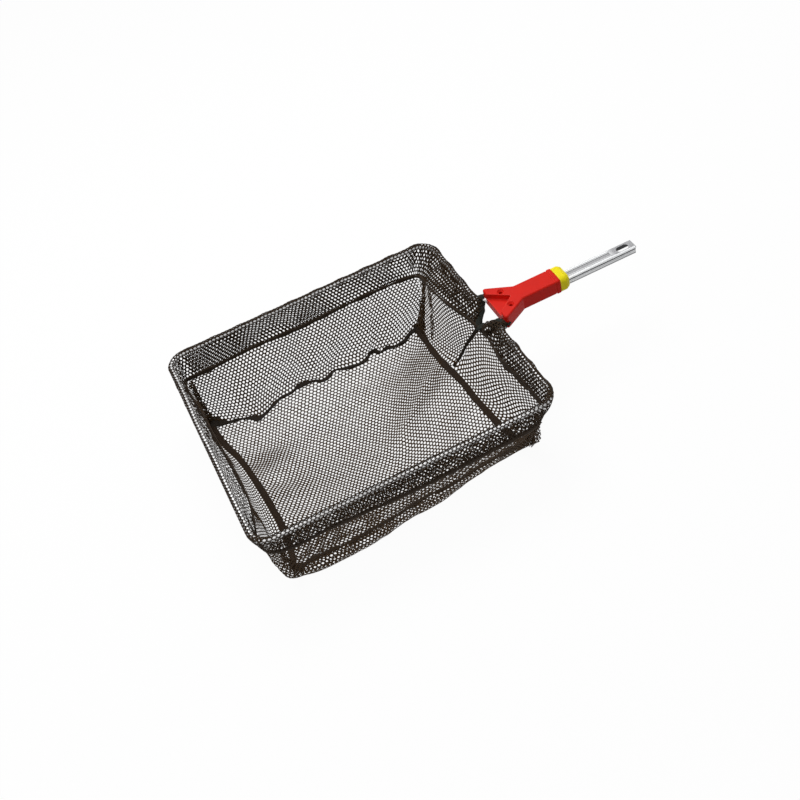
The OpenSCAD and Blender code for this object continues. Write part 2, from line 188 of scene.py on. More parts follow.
def surface(table, low, step):
    """A smooth field through a table of values at even places, carried on straight beyond its edges."""
    t = np.pad(np.array(table, float), 3, mode="reflect", reflect_type="odd")

    def near(q, lowest, pace, count):
        q = np.clip((q - lowest) / pace + 3, 1, count - 2.001)
        i, f = np.floor(q).astype(int), q % 1
        return i, [f * (f * (2 - f) - 1) / 2, 1 + f * f * (1.5 * f - 2.5), f * (f * (4 - 3 * f) + 1) / 2,
                   f * f * (f - 1) / 2]

    def field(u, v):
        (i, a), (j, b) = near(u, low[0], step[0], t.shape[0]), near(v, low[1], step[1], t.shape[1])
        return sum(a[m] * b[n] * t[i + m - 1, j + n - 1] for m in range(4) for n in range(4))
    return field


def rod_line():
    """The rod's centre line from the socket's far side round the rim to its near side."""
    def arc(cx, cy, r, a0, a1):
        a = np.linspace(a0, a1, 28)
        return [(cx + r * math.cos(t), cy + r * math.sin(t)) for t in a]
    right, left = HANDLE_X - CORNER_R, TOE_X + CORNER_R
    far = SIDE_Y - CORNER_R
    bend_x = HANDLE_X + BEND_R
    half = [(SOCKET_X, BEND_Y - BEND_R * math.sin(BEND_TURN)
             - (SOCKET_X - bend_x + BEND_R * math.cos(BEND_TURN)) / math.tan(BEND_TURN))]
    half += arc(bend_x, BEND_Y, BEND_R, math.pi + BEND_TURN, math.pi)
    half += arc(right, far, CORNER_R, 0, math.pi / 2)
    half += arc(left, far, CORNER_R, math.pi / 2, math.pi)
    both = half + [(x, -y) for x, y in reversed(half)]
    turns = np.array([(x, y, ROD_Z) for x, y in both])
    along = chord(turns)
    fine = np.linspace(0, along[-1], int(along[-1] / ROD_STEP))
    return at_distance(fine, along, turns), fine


ROD_POINTS, ROD_ALONG = rod_line()
ROD_LENGTH = ROD_ALONG[-1]


def rod_at(s):
    return at_distance(s, ROD_ALONG, ROD_POINTS)


def rod_out(s):
    """The level direction out of the bag, square to the rod."""
    return square(unit(rod_at(s + 1.5) - rod_at(s - 1.5)))


def nearest_on_rod(x, y):
    return ROD_ALONG[np.argmin(np.hypot(ROD_POINTS[:, 0] - x, ROD_POINTS[:, 1] - y))]


# ---------------- how the bag hangs

# Where the hem's stitched edge hangs: the rod's place, then the stitched point below it
NOTCH = (191.5, 11.0, 83.0)
STITCH = [
    ((HANDLE_X + 10.5, 24.5), NOTCH), ((207, 29), (190, 17, 83.5)), ((203, 36), (188.5, 27, 84)),
    ((HANDLE_X, 50), (184, 43, 85.5)), ((HANDLE_X, 66), (178, 64, 87)), ((HANDLE_X, 88), (174.5, 86, 87)),
    ((HANDLE_X, 108), (173, 106, 86)), ((HANDLE_X, 130), (173.5, 127, 82)), ((HANDLE_X, 149), (174, 140, 80)),
    ((196, 164.6), (172.5, 148, 79)), ((180.5, SIDE_Y), (167, 152.5, 79)), ((150, SIDE_Y), (146, 155, 80)),
    ((75, SIDE_Y), (74, 156, 80.5)), ((0, SIDE_Y), (0, 155, 79)), ((-75, SIDE_Y), (-74, 156.5, 80.5)),
    ((-130, SIDE_Y), (-128, 155, 79)), ((-151.5, SIDE_Y), (-149, 154.5, 79)),
    ((-167, 164.6), (-162.5, 154.5, 78.5)), ((TOE_X, 149), (-165.5, 146, 78)),
    ((TOE_X, 90), (-164, 90, 78)), ((TOE_X, 30), (-161, 30, 78.5)), ((TOE_X, -30), (-157.5, -30, 79)),
    ((TOE_X, -75), (-157.5, -75, 79)), ((TOE_X, -115), (-163.5, -115, 78.5)),
    ((TOE_X, -149), (-168.5, -147, 78.5)), ((-167, -164.6), (-163.5, -161.5, 79)),
    ((-151.5, -SIDE_Y), (-151, -167.5, 78.5)),
    ((-91, -SIDE_Y), (-91, -169, 78)), ((-54, -SIDE_Y), (-54, -170.5, 78)), ((-5, -SIDE_Y), (-5, -173, 77.5)),
    ((45, -SIDE_Y), (45, -174, 78)), ((84, -SIDE_Y), (84, -173, 78)), ((123, -SIDE_Y), (123, -172, 78.5)),
    ((163, -SIDE_Y), (162, -170, 78.5)), ((180.5, -SIDE_Y), (177, -167, 79)),
    ((196, -164.6), (186.5, -159, 79.5)), ((HANDLE_X, -149), (193, -147, 80)),
    ((HANDLE_X, -120), (193.5, -119, 80)), ((HANDLE_X, -86), (191.5, -85, 80)),
    ((HANDLE_X, -58), (188.5, -55, 80)), ((203, -36), (192, -24, 80.5)), ((207, -29), (194, -6, 81.5)),
    ((HANDLE_X + 10.5, -24.5), NOTCH),
]
stitch_line = Track([nearest_on_rod(*rod) if i else 0 for i, (rod, _) in enumerate(STITCH)],
                    [point for _, point in STITCH])

# The traced lines on the ground: the two tapes and the two long seams of the floor
FAR_SEAM = [
    (152.5, 147), (150, 141), (142.4, 137.5), (135, 134), (129, 129.4), (125, 126.4), (119.7, 126),
    (106.4, 126), (100.3, 129.4), (94, 128), (88.6, 127.3), (85.4, 130), (81.8, 135), (78, 135), (72.4, 131),
    (65, 125.6), (58, 123.8), (45.4, 125.3), (32, 129), (25.8, 132.4), (20.3, 132.8), (15.6, 130.5), (8.2, 126),
    (2, 125), (-2, 125.6), (-5.6, 129), (-12, 132), (-18.6, 133.8), (-31.4, 134.4), (-44.4, 129.6),
    (-59.4, 129), (-65.7, 127), (-82, 117.7), (-88.8, 114.3), (-96, 112.4), (-100.3, 112.6), (-104.2, 117),
    (-110.4, 120), (-118, 123.8), (-126, 126.7), (-134.8, 128.3), (-142.4, 132.5), (-150, 137.5),
    (-157.5, 147.7)]
TOE_TAPE = [
    (-157.5, 147.7), (-157.4, 138), (-157.2, 119.8), (-155, 103), (-150.8, 82.8), (-145.6, 63.5), (-142.4, 43),
    (-140.3, 25.3), (-138.6, 5), (-137, -12), (-136, -28), (-135.6, -46), (-135, -60), (-135, -75), (-136, -95),
    (-139, -118), (-144.4, -136)]
NEAR_SEAM = [
    (-144.4, -136), (-135.7, -140), (-119, -138), (-100, -138.7), (-83, -140.4), (-70, -140.8), (-46, -138.6),
    (-24, -137.3), (-4, -135.2), (18, -132), (40, -130), (60, -131), (80, -129.3), (103, -125.5), (120, -124),
    (139, -123), (158, -122.8), (171.8, -122.7)]
HANDLE_TAPE = [
    (171.8, -122.7), (165.5, -100), (161.3, -77), (160, -62), (158.3, -42), (156.7, -22), (156.5, 1), (155, 22),
    (152.5, 42), (150.2, 62), (149.1, 85.5), (149.5, 112), (150.8, 139), (152.5, 147)]
GROUND_EDGE = [
    (-150.5, -148), (-146, -150.5), (-133, -153), (-117, -155.5), (-99.5, -156.5), (-77, -157), (-54.5, -155.5),
    (-31, -152.5), (-9.6, -149), (18, -146.5), (48, -143), (76, -139), (99, -135), (117, -131.5), (136, -130.6),
    (154, -129.6), (168, -129.6), (178, -129.5), (184, -131)]


def level(points, z):
    return [(x, y, z) for x, y in points]


def beside(points, gap, z):
    """A line beside another on the ground, gap to its left."""
    points = even(line(level(points, z)), 6)
    return points - gap * square(unit(np.gradient(points, axis=0)))


AT_FAR_HANDLE, AT_FAR_TOE, AT_NEAR_TOE, AT_NEAR_HANDLE = (
    nearest_on_rod(x, y) for x, y in ((196, 164.6), (-167, 164.6), (-167, -164.6), (196, -164.6)))

# The four corner lines and the closing seam, from the stitched edge to the ground
SEAM_FOOT, WALL_FOOT = (159.5, 44, 2.6), (154.5, 44, 2.6)
CLOSING = [NOTCH, (186, 22, 62), (180, 33, 42), (168, 43, 12), SEAM_FOOT]
HANDLE_SIDE = beside(HANDLE_TAPE, -0.22 * HANDLE_TAPE_W, 2.4)
TOE_SIDE = beside(TOE_TAPE, -0.3 * TOE_TAPE_W, 2.0)

# Each wall: its places along the rod, its mid-height, low and foot lines, end to end between its two
# corners, its ripples and its mesh
WALLS = {
    "wall_handle_far": dict(
        fold=1.0, pitch=(6.3, 4.4), hole_size=0.56, along_rod=(0, AT_FAR_HANDLE),
        mid=[(180, 33, 42), (175, 55, 42), (171, 78, 43), (168, 102, 43), (168, 124, 42), (169, 146, 41)],
        low=[(167, 43, 12), (162, 65, 10), (158, 88, 10), (156, 112, 10), (156, 132, 10), (158, 149, 9)],
        foot=[WALL_FOOT] + [p for p in HANDLE_SIDE if 50 < p[1] < 142] + [(153, 148, 2.4)]),
    "wall_far": dict(
        fold=1.0, pitch=(5.3, 4.1), along_rod=(AT_FAR_HANDLE, AT_FAR_TOE),
        mid=[(169, 146, 41), (140, 148, 42), (90, 146, 42), (30, 144, 42), (-30, 146, 42), (-90, 140, 42),
             (-130, 145, 42), (-160, 153, 40)],
        low=[(158, 149, 9), (140, 143, 9), (118, 133, 9), (90, 135, 9), (60, 132, 9), (20, 138, 9), (0, 132, 9),
             (-28, 139, 9), (-60, 134, 9), (-98, 122, 9), (-130, 134, 9), (-159, 149, 9)],
        foot=level(FAR_SEAM, 2.2)),
    "wall_toe": dict(
        fold=0.35, lean=0.1, pitch=(5.2, 4.8), hole_size=0.58, along_rod=(AT_FAR_TOE, AT_NEAR_TOE),
        mid=[(-160, 153, 40), (-161, 100, 42), (-160, 30, 42), (-158, -40, 42), (-157, -100, 42),
             (-163, -153, 43)],
        low=[(-159, 149, 9), (-163, 100, 9), (-153, 55, 9), (-148, 20, 9), (-145, -28, 9), (-146, -85, 9),
             (-150.5, -148, 2.2)],
        foot=[(-158, 148, 2)] + [p for p in TOE_SIDE if -128 < p[1] < 140] + [(-144.4, -137, 2)]),
    "wall_near": dict(
        fold=1.1, along_rod=(AT_NEAR_TOE, AT_NEAR_HANDLE),
        mid=[(-163, -153, 43), (-140, -162, 42), (-91, -165, 42), (-40, -165, 42), (20, -162, 42), (70, -158, 42),
             (120, -154, 42), (165, -149, 42), (190, -140, 40)],
        low=level(GROUND_EDGE, 2.2),
        foot=level(NEAR_SEAM, 1.8)),
    "wall_handle_near": dict(
        fold=1.0, pitch=(6.9, 4.5), hole_size=0.57, along_rod=(AT_NEAR_HANDLE, ROD_LENGTH),
        mid=[(190, -140, 40), (187, -105, 42), (182, -70, 42), (179, -40, 42), (180, -10, 42), (181, 14, 42),
             (180, 33, 42)],
        low=[(184, -131, 2.2), (177, -108, 7), (170, -70, 9), (167, -40, 9), (164, -5, 9), (164.5, 25, 10),
             (168, 43, 12)],
        foot=[(173, -123, 2.2)] + [p for p in HANDLE_SIDE if -110 < p[1] < 38] + [WALL_FOOT]),
}


def hung(rings, seed, fold, lean):
    """A cloth surface through rings from its top to its foot: returns place(u, v) and its flat size."""
    tracks = [line(r) for r in rings]
    gaps = [np.linalg.norm(a(np.linspace(0, 1, 40)) - b(np.linspace(0, 1, 40)), axis=1).mean()
            for a, b in zip(tracks, tracks[1:])]
    knots = np.r_[0, np.cumsum(gaps)] / sum(gaps)
    step = np.diff(knots)
    width, height = max(length_of(tracks[0]), length_of(tracks[-1])), sum(gaps)
    broad, fine, drape = waves(seed, 5, 52, fold), waves(seed + 1, 6, 19, 0.3 * fold), waves(seed + 2, 4, 30, 1)

    def place(u, v):
        t, w = u / width, v / height
        rows = np.stack([track(t) for track in tracks], -2)
        i, pick, slope = stretch_of(knots, w), np.arange(len(w)), slopes(knots, rows)
        p = between(rows[pick, i], rows[pick, i + 1], slope[pick, i], slope[pick, i + 1], step[i][:, None],
                    ((w - knots[i]) / step[i])[:, None])
        out = square(unit(tracks[0](np.minimum(t + 0.01, 1)) - tracks[0](np.maximum(t - 0.01, 0))))
        free = (np.sin(np.pi * np.clip(t, 0, 1)) ** 0.7 * np.sin(np.pi * np.clip(w, 0, 1)) ** 0.8)[:, None]
        upright = lean * drape(u * 1.6, v * 0.25)
        p = p + free * out * (broad(u, 0.45 * v) + fine(u, 0.3 * v) + upright)[:, None]
        p[:, 2] = np.maximum(p[:, 2], FLOOR_Z)
        return p
    return place, width, height


# ---------------- meshes

def placed(name, data):
    """A new object in the scene."""
    obj = bpy.data.objects.new(name, data)
    bpy.context.scene.collection.objects.link(obj)
    return obj


def coat(mesh, material):
    """Gives a mesh one material in place of any that it has."""
    mesh.materials.clear()
    mesh.materials.append(material)


def smooth(mesh, material):
    """Gives a mesh its one material and smooth shading."""
    coat(mesh, material)
    mesh.polygons.foreach_set("use_smooth", np.ones(len(mesh.polygons), bool))
    mesh.update()


def mesh_object(name, points_mm, faces, material):
    """A smooth mesh object from points in millimetres."""
    mesh = bpy.data.meshes.new(name)
    mesh.from_pydata((np.asarray(points_mm) * MM).tolist(), [], [list(f) for f in faces])
    mesh.validate()
    smooth(mesh, material)
    return placed(name, mesh)


def net(name, width, height, place, material, seed=0, inside=None, clamp=None, origin=(0.0, 0.0),
        hole_size=HOLE_SIZE, slide=None, pitch=MESH_PITCH):
    """Knitted mesh: lens-shaped strands round staggered holes, cut along the cloth's edges.
    place(u, v) hangs flat cloth; inside and clamp give a cut other than the rectangle, and slide drags
    the mesh within the cloth before it is cut. Returns the piece and the area that its strands cover as it
    hangs, the holes left out."""
    rng = np.random.default_rng(seed)
    a, b = pitch
    y1 = (b * b - a * a / 4) / (2 * b)
    corner = np.array([(a / 2, y1), (0, b - y1), (-a / 2, y1), (-a / 2, -y1), (0, -(b - y1)), (a / 2, -y1)])
    rows, cols = 4 * (int(height / (4 * b)) + 1), 2 * (int(width / (2 * a)) + 1)
    j, i = np.meshgrid(np.arange(rows), np.arange(cols), indexing="ij")
    lattice = np.stack([(i - cols // 2 + 0.5 * (j % 2)) * a, (j - rows // 2 + 0.5) * b], -1).reshape(-1, 2)
    lattice = lattice + np.array([origin[0] + width / 2, origin[1] + height / 2])
    drag = slide or (lambda u, v: (u, v))
    cu, cv = drag(*lattice.T)
    if inside is None:
        def inside(u, v):
            return (u > CUT_MARGIN) & (u < width - CUT_MARGIN) & (v > CUT_MARGIN) & (v < height - CUT_MARGIN)

        def clamp(u, v):
            return np.clip(u, 0, width), np.clip(v, 0, height)
    keep = inside(cu, cv)
    cells = keep.sum()
    corners = (lattice[keep][:, None, :] + corner).reshape(-1, 2)
    key = np.round((corners - lattice[0]) * np.array([4 / a, 12 / b])).astype(np.int64)
    _, first, ids = np.unique(key, axis=0, return_index=True, return_inverse=True)
    ids = ids.reshape(cells, 6)
    nodes = np.stack(drag(*corners[first].T), 1)
    warp_u, warp_v = waves(seed + 11, 5, 90, 0.7), waves(seed + 12, 5, 90, 0.6)
    nodes = nodes + rng.normal(0, KNOT_SCATTER, nodes.shape) + np.stack([warp_u(*nodes.T), warp_v(*nodes.T)], 1)
    nodes = np.stack(clamp(nodes[:, 0], nodes[:, 1]), 1)
    ring = nodes[ids]
    middle = ring.mean(1, keepdims=True)
    open_by = hole_size(cu[keep], cv[keep]) if callable(hole_size) else hole_size
    around = ring - middle
    # One width of strand over the whole cloth: a cell with little room round it has a smaller hole
    after = np.roll(around, -1, 1)
    room = np.abs(np.cross(around, after)).sum(1) / np.linalg.norm(around - after, axis=2).sum(1)
    open_by = np.clip(1 - (1 - open_by) * np.median(room) / room, LEAST_HOLE, LARGEST_HOLE)
    size = open_by[:, None, None] * (1 + rng.normal(0, HOLE_SCATTER, (cells, 1, 1)))
    holes = middle + around * size
    flat = np.concatenate([nodes, holes.reshape(-1, 2)])
    u, v = flat.T
    p = place(u, v)
    normal = unit(np.cross(place(u + NEAR_BY, v) - place(u - NEAR_BY, v),
                           place(u, v + NEAR_BY) - place(u, v - NEAR_BY)))
    n = len(nodes)
    tall = (STRAND_H * (1 + rng.normal(0, STRAND_SCATTER, n)))[:, None]
    points = np.concatenate([p[:n] + normal[:n] * tall, p[:n] - normal[:n] * tall, p[n:]])
    hole = 2 * n + np.arange(cells * 6).reshape(cells, 6)
    nxt, hole_nxt = np.roll(ids, -1, 1), np.roll(hole, -1, 1)
    upper = np.stack([ids, nxt, hole_nxt, hole], -1).reshape(-1, 4)
    under = np.stack([nxt + n, ids + n, hole, hole_nxt], -1).reshape(-1, 4)
    pair = np.stack([ids, nxt], -1).reshape(-1, 2)
    _, where, count = np.unique(np.sort(pair, 1), axis=0, return_index=True, return_counts=True)
    rim = pair[where[count == 1]]
    side = np.stack([rim[:, 1], rim[:, 0], rim[:, 0] + n, rim[:, 1] + n], -1)
    spokes = p[:n][ids] - p[:n][ids].mean(1, keepdims=True)
    covered = np.linalg.norm(np.cross(spokes, np.roll(spokes, -1, 1)), axis=2) / 2 * (1 - size[..., 0] ** 2)
    return mesh_object(name, points, np.concatenate([upper, under, side]), material), covered.sum() * MM * MM


def skins(name, groups, material):
    """Closed skins in one mesh, each over rings of points of equal count."""
    groups = np.asarray(groups)
    at = np.arange(groups[..., 0].size).reshape(groups.shape[:3])
    nxt = np.roll(at, -1, 2)
    sides = np.stack([at[:, :-1], nxt[:, :-1], nxt[:, 1:], at[:, 1:]], -1).reshape(-1, 4).tolist()
    ends = at[:, 0, ::-1].tolist() + at[:, -1].tolist()
    return mesh_object(name, groups.reshape(-1, 3), sides + ends, material)


def loft(name, rings, material):
    """One closed skin over rings, kept clear of the ground."""
    rings = np.array(rings)
    rings[..., 2] = np.maximum(rings[..., 2], LOWEST)
    return skins(name, rings[None], material)


def frames(points, up=UP):
    """The ways sideways and upwards at each point of a line."""
    way = unit(np.gradient(points, axis=0))
    side = unit(np.cross(np.asarray(up, float), way))
    return side, unit(np.cross(way, side))


def band_rings(points, width, thick, up=UP, seed=0, lumps=0.06, corners=3.2):
    """Rings of a soft flat band along points: rounded edges, with its width and thickness wandering."""
    rng = np.random.default_rng(seed)
    side, high = frames(points, up)
    n, reach = len(points), 5

    def wander(size):
        raw = np.convolve(rng.normal(0, 1, n + 2 * reach), np.hanning(2 * reach + 1), "valid")
        return 1 + size * raw / (raw.std() + 1e-9)
    a = np.linspace(0, 2 * np.pi, 16, endpoint=False)
    ca, sa = np.cos(a), np.sin(a)
    x = np.sign(ca) * np.abs(ca) ** (2 / corners)
    y = np.sign(sa) * np.abs(sa) ** (2 / corners)
    width, thick = np.broadcast_to(width, n) * wander(lumps), np.broadcast_to(thick, n) * wander(lumps * 1.6)
    return (points[:, None, :] + (width / 2)[:, None, None] * x[None, :, None] * side[:, None, :]
            + (thick / 2)[:, None, None] * y[None, :, None] * high[:, None, :])


def join(objs, name):
    """Several mesh objects made one."""
    bpy.ops.object.select_all(action="DESELECT")
    for o in objs:
        o.select_set(True)
    bpy.context.view_layer.objects.active = objs[0]
    bpy.ops.object.join()
    objs[0].name = objs[0].data.name = name
    return objs[0]


def threads(name, starts, ends, radius, material):
    """Short sewn threads, each bowed up on its way from a start to an end."""
    t, turn = np.linspace(0, 1, 5), np.arange(6)[:, None] * 2 * np.pi / 6
    thick = radius * (0.35 + 0.65 * np.sin(np.pi * np.clip(t, 0.06, 0.94)))[:, None, None]
    way = unit(ends - starts)
    side = unit(np.cross(way, np.array(UP)))[:, None]
    up = np.cross(side[:, 0], way)[:, None]
    middle = starts[:, None] + (ends - starts)[:, None] * t[:, None]
    middle = middle + up * radius * 1.1 * np.sin(np.pi * t)[:, None]
    around = np.cos(turn) * side + np.sin(turn) * up
    return skins(name, middle[:, :, None] + thick * around[:, None], material)


# ---------------- materials

def feed(tree, socket, value):
    """Gives an input a plain value or another node's output."""
    if isinstance(value, bpy.types.NodeSocket):
        tree.links.new(value, socket)
    else:
        socket.default_value = value


def node(tree, kind, *first, **named):
    """A shader node, with what goes into its first inputs, and its other inputs and settings by name."""
    n = tree.nodes.new("ShaderNode" + kind)
    for key, value in named.items():
        if key in n.inputs:
            feed(tree, n.inputs[key], value)
        else:
            setattr(n, key, value)
    for socket, value in zip(n.inputs, first):
        feed(tree, socket, value)
    return n


def material(name, **inputs):
    """A material with its surface's inputs set by name: returns it, its tree and its surface."""
    m = bpy.data.materials.new(name)
    m.use_nodes = True
    surface = m.node_tree.nodes["Principled BSDF"]
    for key, value in inputs.items():
        surface.inputs[key.replace("_", " ")].default_value = value
    return m, m.node_tree, surface


def dress(tree, surface, colour, rough, height, strength, distance, round_off=None):
    """Gives a surface its colour, roughness and height and, where asked, rounds its edges by a radius."""
    relief = node(tree, "Bump", Height=height, Strength=strength, Distance=distance)
    if round_off:
        soft = node(tree, "Bevel", Radius=round_off)
        tree.links.new(soft.outputs["Normal"], relief.inputs["Normal"])
    for key, source in (("Base Color", colour), ("Roughness", rough), ("Normal", relief.outputs["Normal"])):
        feed(tree, surface.inputs[key], source)


def place_vector(tree, scale=(1, 1, 1)):
    """The object's own coordinates, stretched."""
    where = node(tree, "TexCoord").outputs["Object"]
    return node(tree, "Mapping", where, Scale=scale).outputs["Vector"]


def noise(tree, vector, scale, detail, rough=0.5):
    return node(tree, "TexNoise", vector, Scale=scale, Detail=detail, Roughness=rough).outputs["Fac"]


def ribs(tree, vector, scale, distortion, direction):
    return node(tree, "TexWave", vector, Scale=scale, Distortion=distortion,
                bands_direction=direction).outputs["Fac"]


def shade(colour, k):
    return tuple(min(1, c * k) for c in colour)


def ramp(tree, factor, low, high, start=0.3, end=0.7, colour=(1, 1, 1)):
    """Along a factor, from low at start to high at end: each is a colour, or a share of the colour given."""
    r = node(tree, "ValToRGB", factor)
    for stop, at, level in zip(r.color_ramp.elements, (start, end), (low, high)):
        stop.position, stop.color = at, (*(level if isinstance(level, tuple) else shade(colour, level)), 1)
    return r.outputs["Color"]


def maths(tree, operation, a, b):
    return node(tree, "Math", a, b, operation=operation).outputs[0]


def over(tree, base, factor, colour):
    """A colour, plain or from a node, laid over another by a factor."""
    mix = node(tree, "Mix", data_type="RGBA")
    top = (*colour, 1) if isinstance(colour, tuple) else colour
    for k, value in ((0, factor), (6, base), (7, top)):
        feed(tree, mix.inputs[k], value)
    return mix.outputs[2]


def where_is(tree, axis, low, high, soft=0.2):
    """1 inside a stretch of the object's own axis, in millimetres, and 0 outside it."""
    split = node(tree, "SeparateXYZ", place_vector(tree)).outputs["XYZ".index(axis)]
    return maths(tree, "MULTIPLY", *(
        node(tree, "MapRange", split, **{"From Min": (edge - soft * flip) * MM,
                                                   "From Max": (edge + soft * flip) * MM}).outputs["Result"]
        for edge, flip in ((low, 1), (high, -1))))


def thread_material(name, colour, sheen=0.02, rough=0.66):
    """Twisted polyester thread: fine plies, dusty variation and a faint sheen."""
    m, tree, surface = material(name, Sheen_Weight=sheen, Sheen_Roughness=0.45, Specular_IOR_Level=0.12)
    v = place_vector(tree)
    broad, fine = noise(tree, v, 26, 2), noise(tree, v, 900, 3)
    tint = over(tree, ramp(tree, broad, 0.82, 1.18, colour=colour), 0.5,
                ramp(tree, fine, 0.62, 1.5, 0.35, 0.68, colour))
    plies = over(tree, ribs(tree, v, 2600, 2.0, "DIAGONAL"), 0.4, fine)
    dress(tree, surface, tint, ramp(tree, fine, rough - 0.12, rough + 0.16), plies, 0.5, 0.0002)
    return m


def tape_material(name, colour):
    """Woven tape: crossed ribs, paler on their crowns and darker between them."""
    m, tree, surface = material(name, Sheen_Weight=0.03, Specular_IOR_Level=0.12)
    v = place_vector(tree)
    weave = over(tree, ribs(tree, v, 1700, 0.6, "X"), 0.5, ribs(tree, v, 1190, 0.6, "Y"))
    broad = noise(tree, v, 60, 4)
    tint = over(tree, ramp(tree, weave, 0.6, 1.45, 0.25, 0.8, colour), 0.5,
                ramp(tree, broad, 0.75, 1.3, colour=colour))
    dress(tree, surface, tint, ramp(tree, broad, 0.6, 0.82), weave, 0.6, 0.0003)
    return m


def plastic_material(name, colour, edge_highlight_and_wear):
    """Moulded plastic: faint flow variation, a fine grain, rounded edges, and paler edges that are a painted
    highlight broken up by rubbing.
    """
    rough, round_off = 0.42, 0.0008
    m, tree, surface = material(name, Specular_IOR_Level=0.13)
    v = place_vector(tree)
    broad, fine, scuff = noise(tree, v, 45, 3), noise(tree, v, 2600, 2), noise(tree, v, 320, 5)
    # An edge is where the rounded normal leaves the flat one
    turn = node(tree, "VectorMath",
                node(tree, "Bevel", Radius=1.4 * round_off).outputs["Normal"],
                node(tree, "NewGeometry").outputs["Normal"], operation="DOT_PRODUCT")
    # Paler edges: a painted highlight along every edge, patchy where a scuff pattern of rubbing breaks it.
    highlit_and_rubbed = maths(tree, "MULTIPLY", ramp(tree, turn.outputs["Value"], 0.9, 0.0, 0.9, 0.985),
                   ramp(tree, scuff, 0.4, 1.0, 0.35, 0.6))
    tint = over(tree, ramp(tree, broad, 0.92, 1.05, colour=colour), highlit_and_rubbed, edge_highlight_and_wear)
    dress(tree, surface, tint, ramp(tree, broad, rough - 0.05, rough + 0.09), fine, 0.2, 0.0001, round_off)
    return m


def rod_material():
    """Bright drawn steel: fine streaks along its length."""
    rough = 0.3
    m, tree, surface = material("rod_steel", Metallic=0.3)
    lines = noise(tree, place_vector(tree, (30, 900, 900)), 1, 4)
    dress(tree, surface, ramp(tree, lines, 0.84, 1.06, colour=(0.96, 0.96, 0.96)),
          ramp(tree, lines, rough - 0.06, rough + 0.12), lines, 0.12, 0.0001)
    return m


def tang_material():
    """Pressed zinc-plated sheet, toned in zones: bright flats; a grey groove, flange and tip, partly dull steel
    and partly painted reflection; and dark bands of painted shade along the creases and edges and inside the
    channel.
    """
    rough = 0.32
    m, tree, surface = material("tang_steel", Metallic=0.35)
    mottle = noise(tree, place_vector(tree), 900, 6, 0.7)
    lines = noise(tree, place_vector(tree, (14, 700, 700)), 1, 4)
    tint = ramp(tree, lines, 0.82, 1.12, colour=(0.86, 0.87, 0.88))
    # The grey and dull tones are partly the steel's own dullness and partly painted reflection bands; the dark
    # tone is painted shade.
    dull_steel_and_painted_reflection = ramp(tree, mottle, (0.24, 0.24, 0.25), (0.50, 0.50, 0.51), 0.34, 0.68)
    painted_shade, grey_steel_and_painted_reflection, top = (0.02, 0.02, 0.022), (0.30, 0.30, 0.31), ("Z", 111.2, 200)
    reflection_and_shade_zones = [(dull_steel_and_painted_reflection, [("Y", -3, 3), ("X", 300, 378.5), ("Z", 110.5, 200)]),
             (dull_steel_and_painted_reflection, [("X", 380, 420, 4), ("Y", -5.6, 9), top]), (grey_steel_and_painted_reflection, [("Y", 8.2, 10), top]),
             (dull_steel_and_painted_reflection, [("Z", 0, 105.6)]), (grey_steel_and_painted_reflection, [("Z", 0, 104.5)]), (grey_steel_and_painted_reflection, [("X", 411.2, 420)])]
    for side in (-1, 1):
        reflection_and_shade_zones += [(painted_shade, [("Y", *sorted((side * 3.9, side * 4.5))), ("X", 300, 380), top]),
                  (painted_shade, [("Y", *sorted((side * 8.6, side * 10))), ("Z", 109.8, 111.9)])]
    # Painted shade over everything inside the channel.
    reflection_and_shade_zones.append((painted_shade, [("Y", -7.7, 7.7), ("Z", 0, 111.8)]))
    for zone_tone, stretches in reflection_and_shade_zones:
        share = where_is(tree, *stretches[0])
        for stretch in stretches[1:]:
            share = maths(tree, "MULTIPLY", share, where_is(tree, *stretch))
        tint = over(tree, tint, share, zone_tone)
    dress(tree, surface, tint, ramp(tree, mottle, rough - 0.05, rough + 0.2), mottle, 0.25, 0.00012, 0.0005)
    return m


NET = thread_material("net_thread", (0.052, 0.029, 0.012))
HEM = thread_material("hem_thread", (0.025, 0.014, 0.006))
SEAM = thread_material("seam_thread", (0.020, 0.015, 0.011), sheen=0.01, rough=0.72)
STITCHED = thread_material("stitched_edge", (0.038, 0.026, 0.017), sheen=0.03, rough=0.7)
TAPE = tape_material("edge_tape", (0.027, 0.016, 0.009))
BINDING = tape_material("notch_tape", (0.020, 0.023, 0.019))
# The second colour is that of the paler edges: painted highlight and rubbing in one.
RED = plastic_material("socket_red", (0.68, 0.013, 0.006), (0.95, 0.16, 0.10))
YELLOW = plastic_material("collar_yellow", (1.0, 0.83, 0.012), (1.0, 0.92, 0.30))
ROD = rod_material()
TANG = tang_material()


# ---------------- the bag

def on_frame(obj, node_name):
    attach(obj, BODY)
    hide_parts(node_name)
    return obj


def cloth(name, size, place, mat, node_name, held, rests_on, with_pieces=(), flat=None, **mesh):
    """Net over flat cloth of a size, put on the frame in place of a node. flat, the rectangle that it is cut from
    where that is not its size, is not used, and nor is the area that net gives back, that of the strands as
    they hang, not of the flat cut."""
    obj, covered = net(name, *size, place, mat, **mesh)
    on_frame(obj, node_name)
    return obj


# The hem starts this far from the rod's end, and is this long and wide
HEM_FROM, HEM_WIDE = 2.0, 74.0
HEM_LONG = ROD_LENGTH - HEM_FROM - HEM_FROM
# How open its holes are at places along it: the handle side is gathered, which closes them
HEM_OPEN = [
    (0, 0.52), (130, 0.55), (165, 0.68), (450, 0.66), (500, 0.64), (560, 0.76), (800, 0.78), (850, 0.69),
    (1190, 0.67), (1230, 0.57), (HEM_LONG, 0.52)]
